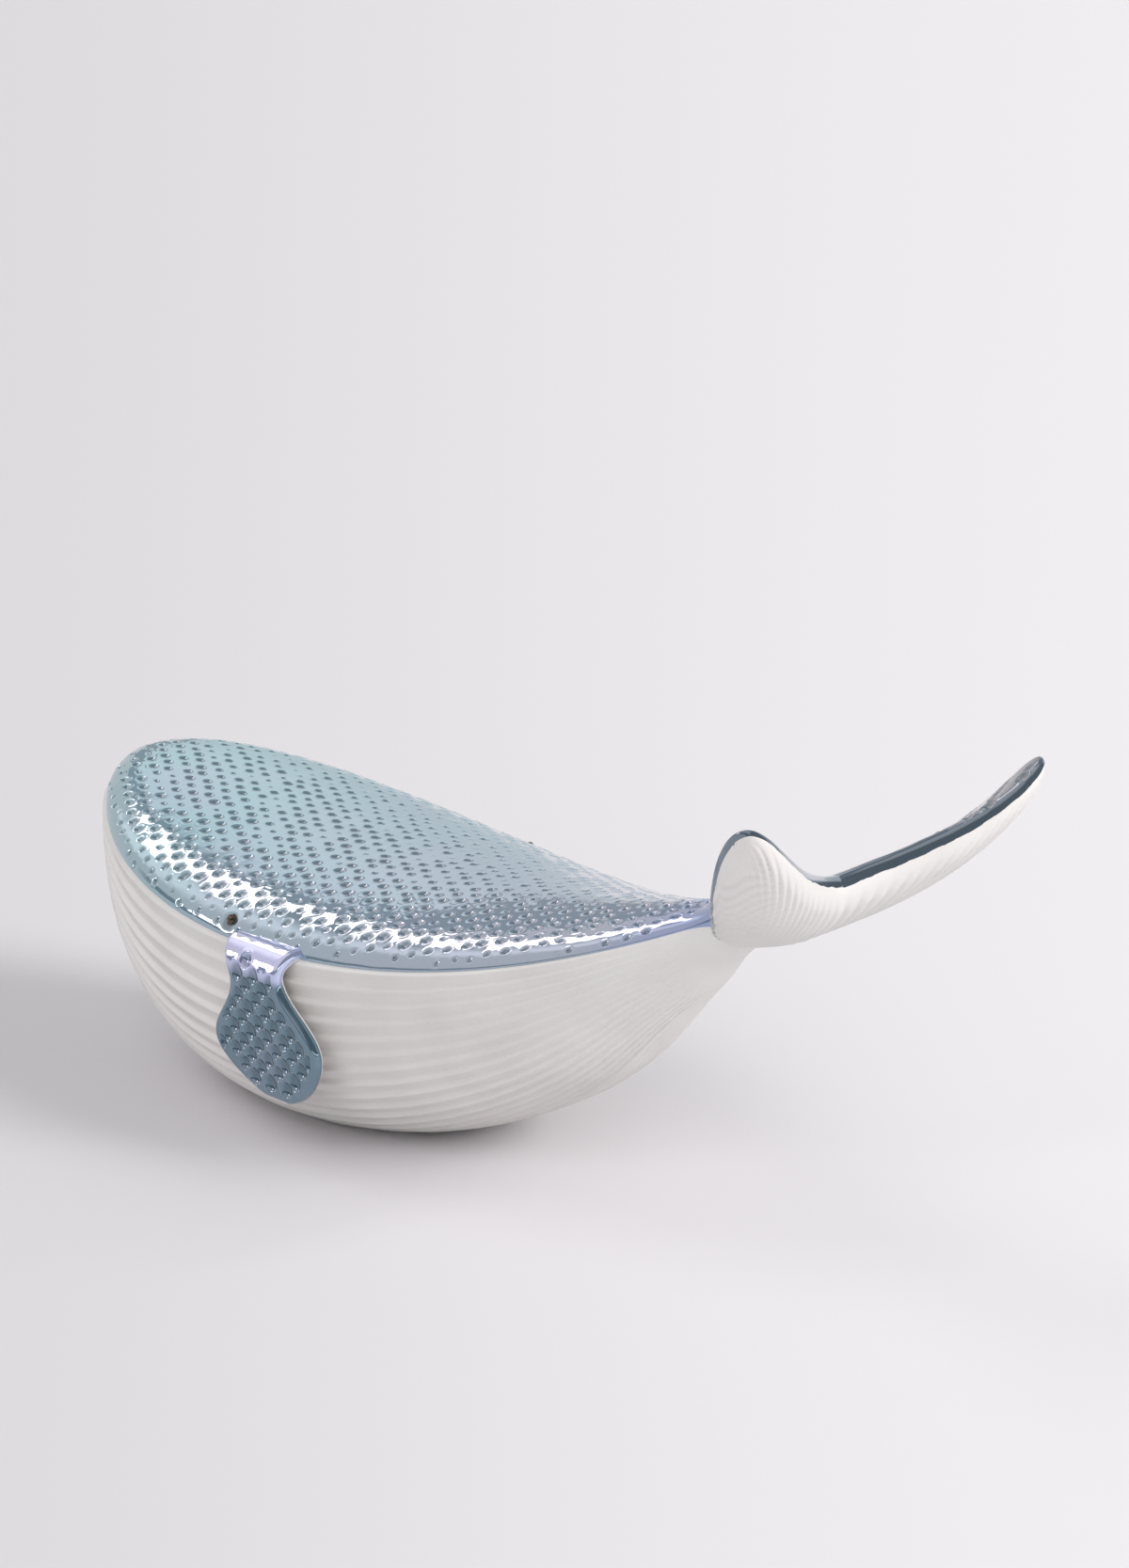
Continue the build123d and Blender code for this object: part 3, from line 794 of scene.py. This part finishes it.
fin_skin, fin_tree = new_material("fin_lustre")
fin_cover = add(fin_tree, "ShaderNodeAttribute", {"attribute_name": "lustre"}, {}, "Fac")
fin_spot = add(fin_tree, "ShaderNodeTexCoord", {}, {}, "Object")
fin_ragged = add(fin_tree, "ShaderNodeTexNoise", {}, {"Vector": fin_spot, "Scale": 420.0, "Detail": 3.0})
fin_rise = add(fin_tree, "ShaderNodeSeparateXYZ", {}, {"Vector": fin_spot}, "Z")
# The shelf above FIN_SHELF is painted a pale lavender: a painted highlight standing in for the softbox mirrored on the
# bend.
fin_film_and_painted_sheen = mix_colours(fin_tree, fin_rise.ease(FIN_SHELF - 0.004, FIN_SHELF), FIN_COLOUR, FIN_SHELF_PAINTED_SHEEN)
fin_mix = add(fin_tree, "ShaderNodeMixShader", {}, {
    0: (fin_cover + (fin_ragged - 0.5) * 0.5).ease(0.42, 0.58), 1: biscuit_shader(fin_tree),
    2: lustre_shader(fin_tree, fin_film_and_painted_sheen)})
set_surface(fin_tree, fin_mix)
for side, node in ((-1, "fin_left"), (1, "fin_right")):
    fin = make_piece(node + "_plate", np.array(fin_points) * (1, side, 1), fin_faces, {
        "press": fin_press, "glaze": np.zeros(len(fin_points)), "lustre": fin_lustre})
    fin_dimples = dimple_points("fin_dimples", places * (1, side, 1), reaches, depths)
    shape_piece(fin, dimple_tree, {"Dimples": fin_dimples, "Lip": 0.16, "Wander": 0.25 * MM, "Wander Scale": 110.0,
                                   "Material": fin_skin})
    bpy.data.objects.remove(fin_dimples)
    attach(fin, "root")
    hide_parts(node)

# Eyes: small oval beads set in sockets above the rim, painted with bronze lustre and speckled.

EYE_HALF_LENGTH = 1.8
EYE_HALF_HEIGHT = 2.6
EYE_PROUD = 0.8
EYE_RINGS = (0.0, 0.25, 0.5, 0.7, 0.85, 0.94, 1.0)
EYE_TURNS = 40

bronze, bronze_tree = new_material("bronze_lustre")
bronze_spot = add(bronze_tree, "ShaderNodeTexCoord", {}, {}, "Object")
speckle = add(bronze_tree, "ShaderNodeTexNoise", {}, {"Vector": bronze_spot, "Scale": 1500.0, "Detail": 2.0})
bronze_tone = mix_colours(bronze_tree, speckle.ease(0.42, 0.62), (0.035, 0.025, 0.02), (0.22, 0.16, 0.11))
set_surface(bronze_tree, add(bronze_tree, "ShaderNodeBsdfPrincipled", {}, {
    "Base Color": bronze_tone, "Roughness": 0.18 + speckle * 0.2, "Metallic": 0.7, "Coat Weight": 0.4}))
for side, node in ((-1, "eye_left"), (1, "eye_right")):
    eye_points = []
    for ring in EYE_RINGS[1:]:
        for turn in np.arange(EYE_TURNS) * 2 * pi / EYE_TURNS:
            dome = EYE_PROUD * math.sqrt(max(1 - ring ** 2.6, 0)) - 0.15 * ring
            eye_points.append((EYE_HALF_LENGTH * ring * math.cos(turn), dome, EYE_HALF_HEIGHT * ring * math.sin(turn)))
    for turn in np.arange(EYE_TURNS) * 2 * pi / EYE_TURNS:
        eye_points.append((EYE_HALF_LENGTH * math.cos(turn), -2.0, EYE_HALF_HEIGHT * math.sin(turn)))
    eye_points += [(0, EYE_PROUD, 0), (0, -2.0, 0)]
    eye_faces = grid_faces(len(EYE_RINGS), EYE_TURNS, True)
    eye_base = (len(EYE_RINGS) - 1) * EYE_TURNS
    eye_faces += fan([*range(EYE_TURNS), 0], len(eye_points) - 2)
    eye_faces += fan([*range(eye_base, eye_base + EYE_TURNS), eye_base], len(eye_points) - 1)
    eye = make_piece(node + "_bead", (np.array(eye_points) + eye_place) * (1, side, 1), eye_faces, {})
    eye.data.materials.append(bronze)
    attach(eye, "root")
    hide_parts(node)

# Camera: on the port quarter, a little above the tail, at the photograph's distance.

view_turn = math.radians(48.576)
VIEW_RISE = math.radians(15.38)
back_way = Vector((math.sin(view_turn) * math.cos(VIEW_RISE), -math.cos(view_turn) * math.cos(VIEW_RISE),
                   math.sin(VIEW_RISE)))
right_way = Vector((math.cos(view_turn), math.sin(view_turn), 0))
up_way = back_way.cross(right_way)
body_middle = Vector((BODY_LENGTH / 2 - FOOT_X, 0, LOW_RIM))
camera_place = (body_middle + 1633.8 * back_way + 46.306 * right_way + 45.374 * up_way) * MM
camera_data = bpy.data.cameras.new("camera")
camera_data.lens = 5000 / 1667 * 36
camera_data.sensor_width = 36
camera_data.clip_end = 50
camera = bpy.data.objects.new("camera", camera_data)
turned = Matrix((right_way, up_way, back_way)).transposed().to_4x4()
turned.translation = camera_place
camera.matrix_world = turned
bpy.context.scene.collection.objects.link(camera)
bpy.context.scene.camera = camera

# Stage: a wide sheet of pale paper under the figure, out past the edges of the picture. Its colour is painted darker
# to the picture's left and lighter to the right: painted shade and light for the key's falloff across the floor.

PAPER_LEFT_PAINTED_SHADE = (0.675, 0.655, 0.675)
PAPER_RIGHT_PAINTED_LIGHT = (0.845, 0.825, 0.85)
PAPER_REACH = 9.0
paper, paper_tree = new_material("stage_paper")
paper_spot = add(paper_tree, "ShaderNodeTexCoord", {}, {}, "Object")
paper_off = add(paper_tree, "ShaderNodeVectorMath", {"operation": "SUBTRACT"}, {0: paper_spot, 1: camera_place})
paper_right = add(paper_tree, "ShaderNodeVectorMath", {"operation": "DOT_PRODUCT"}, {0: paper_off, 1: right_way}, "Value")
paper_away = add(paper_tree, "ShaderNodeVectorMath", {"operation": "DOT_PRODUCT"}, {0: paper_off, 1: -back_way}, "Value")
# Painted shade towards the picture's left, painted light towards its right.
paper_painted_falloff = mix_colours(paper_tree, (paper_right / paper_away.most(1.2)).ease(-0.20, 0.16), PAPER_LEFT_PAINTED_SHADE, PAPER_RIGHT_PAINTED_LIGHT)
set_surface(paper_tree, add(paper_tree, "ShaderNodeBsdfPrincipled", {}, {
    "Base Color": paper_painted_falloff, "Roughness": 0.85, "Specular IOR Level": 0.1}))
floor_mesh = bpy.data.meshes.new("paper_floor")
floor_corners = [(x * PAPER_REACH, y * PAPER_REACH, -0.0002) for x, y in ((-1, -1), (1, -1), (1, 1), (-1, 1))]
floor_mesh.from_pydata(floor_corners, [], [(0, 1, 2, 3)])
floor_mesh.materials.append(paper)
floor = bpy.data.objects.new("paper_floor", floor_mesh)
bpy.context.scene.collection.objects.link(floor)

# Light: a soft key from the right, a tall softbox beyond the head with a cooler one under it,
# and a pale room whose ceiling is dark, so that the lustre has something to mirror.


def aim(position, target, roll_from=(0, 0, 1)):
    """A matrix at position whose -Z looks at target."""
    back_way = (Vector(position) - Vector(target)).normalized()
    side_way = Vector(roll_from).cross(back_way).normalized()
    up_way = back_way.cross(side_way)
    turned = Matrix((side_way, up_way, back_way)).transposed().to_4x4()
    turned.translation = Vector(position)
    return turned


for name, way, strength, width, colour in (
        ("right_key", (0.80, 0.333, 0.50), 2.0, 26, (1.0, 0.99, 0.97)),
        ("front_fill", (0.45, -0.70, 0.55), 0.85, 40, (0.99, 0.99, 1.0)),
        ("left_fill", (-0.72, -0.25, 0.65), 0.45, 35, (1.0, 1.0, 1.0))):
    sun = bpy.data.lights.new(name, "SUN")
    sun.energy = strength
    sun.angle = math.radians(width)
    sun.color = colour
    holder = bpy.data.objects.new(name, sun)
    holder.matrix_world = aim(way, (0, 0, 0))
    holder.visible_glossy = False
    bpy.context.scene.collection.objects.link(holder)
for name, way, size, power, colour in (
        ("head_softbox", (-0.72, 0.095, 0.68), (0.54, 0.22), 1.2, (1.0, 0.76, 0.73)),
        ("low_softbox", (-0.69, -0.69, 0.23), (0.48, 0.36), 2.2, (1.0, 0.80, 0.78))):
    lamp = bpy.data.lights.new(name, "AREA")
    lamp.shape = "RECTANGLE"
    lamp.size, lamp.size_y = size
    lamp.energy = power
    lamp.color = colour
    holder = bpy.data.objects.new(name, lamp)
    place = Vector(way).normalized() * 1.8 + Vector((0, 0, 0.08))
    holder.matrix_world = aim(place, (0, 0, 0.08))
    holder.visible_diffuse = False
    bpy.context.scene.collection.objects.link(holder)

world = bpy.data.worlds.new("studio")
bpy.context.scene.world = world
world.use_nodes = True
room = world.node_tree
room.nodes.clear()
ray = room.nodes.new("ShaderNodeLightPath")
plain = Wire(room, ray.outputs["Is Camera Ray"])
mirrored = Wire(room, ray.outputs["Is Glossy Ray"]).most(Wire(room, ray.outputs["Is Transmission Ray"]))
look = add(room, "ShaderNodeTexCoord", {}, {}, "Generated")
sideways = add(room, "ShaderNodeSeparateXYZ", {}, {"Vector": look}, "X")
inwards = add(room, "ShaderNodeSeparateXYZ", {}, {"Vector": look}, "Y")
height = add(room, "ShaderNodeSeparateXYZ", {}, {"Vector": look}, "Z")
from_head = inwards.maths("ARCTAN2", inwards, sideways * -1.0) * (180 / pi)
past_flag = from_head - (36 - 34.4 * height * height)
flag = (1 - abs(past_flag).ease(2.4, 3.4)) * height.ease(0.04, 0.12)
ceiling = height.ease(0.60, 0.72) * inwards.ease(-0.15, 0.15)
right_gloom = sideways.ease(0.15, 0.45) * height.ease(0.0, 0.2)
halo = from_head.ease(-30.0, -12.0) * (1 - from_head.ease(0.0, 8.0)) * height.ease(0.45, 0.55)
front = mix_colours(room, halo, (0.80, 0.72, 0.72), (1.35, 1.2, 1.2))
low_front = (1 - height.ease(0.16, 0.28)) * (1 - from_head.ease(-26.0, -18.0))
front = mix_colours(room, low_front, front, (0.19, 0.22, 0.25))
beyond = mix_colours(room, height.ease(0.12, 0.52), (0.64, 0.68, 0.71), (0.98, 0.98, 1.0))
sides = mix_colours(room, past_flag.ease(2.4, 3.4), front, beyond)
flagged = mix_colours(room, flag, sides, (0.34, 0.37, 0.41))
dimmed = mix_colours(room, ceiling, flagged, (0.30, 0.32, 0.35))
darkened = mix_colours(room, right_gloom, dimmed, (0.11, 0.13, 0.145))
bar = (1 - abs(height - 0.14).ease(0.03, 0.055)) * sideways.ease(0.45, 0.6)
walls = mix_colours(room, bar, darkened, (2.6, 2.4, 2.3))
overhead = mix_colours(room, height.ease(-0.05, 0.85), (0.38, 0.38, 0.385), (0.53, 0.53, 0.54))
lit = mix_colours(room, mirrored, overhead, walls)
shown = mix_colours(room, plain, lit, (0.72, 0.72, 0.74))
background = add(room, "ShaderNodeBackground", {}, {"Color": shown, "Strength": 1.0})
world_out = room.nodes.new("ShaderNodeOutputWorld")
room.links.new(background.socket, world_out.inputs["Surface"])
bpy.context.scene.view_settings.view_transform = "Standard"
